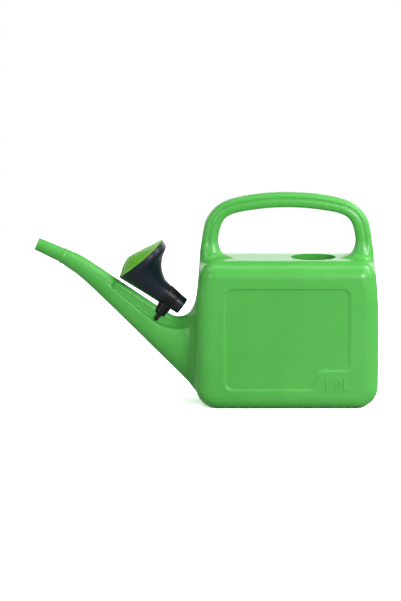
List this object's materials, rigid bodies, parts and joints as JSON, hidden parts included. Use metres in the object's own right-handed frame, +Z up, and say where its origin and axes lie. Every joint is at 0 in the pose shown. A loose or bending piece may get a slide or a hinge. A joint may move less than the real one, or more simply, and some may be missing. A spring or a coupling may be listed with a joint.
{
  "type": "watering can",
  "caption": "Ten-litre plastic watering can with an arched handle, a long tapering spout and a detachable spray rose parked on the spout.",
  "frame": {"origin": "middle of the tank's flat base, where the can stands", "axes": "+X from the spout towards the tank's far end, +Z up, the can is symmetric about y = 0"},
  "size_m": [0.5892, 0.148, 0.366],
  "materials": {
    "can_green": "satin",
    "rose_black": "satin",
    "sieve_green": "gloss",
    "clip_black": "satin"
  },
  "bodies": {
    "can": {"can_body": "can_green"},
    "rose": {"rose_body": "rose_black", "parking_clip": "clip_black"},
    "sieve": {"rose_sieve": "sieve_green"}
  },
  "joints": [
    {"name": "rose_unclip", "type": "slide", "parent": "can", "child": "rose", "axis": [0.5597, 0, 0.8287], "range_m": [0, 0.027]},
    {"name": "sieve_pull_off", "type": "slide", "parent": "rose", "child": "sieve", "axis": [-0.6469, 0, 0.7626], "range_m": [0, 0.03]}
  ]
}
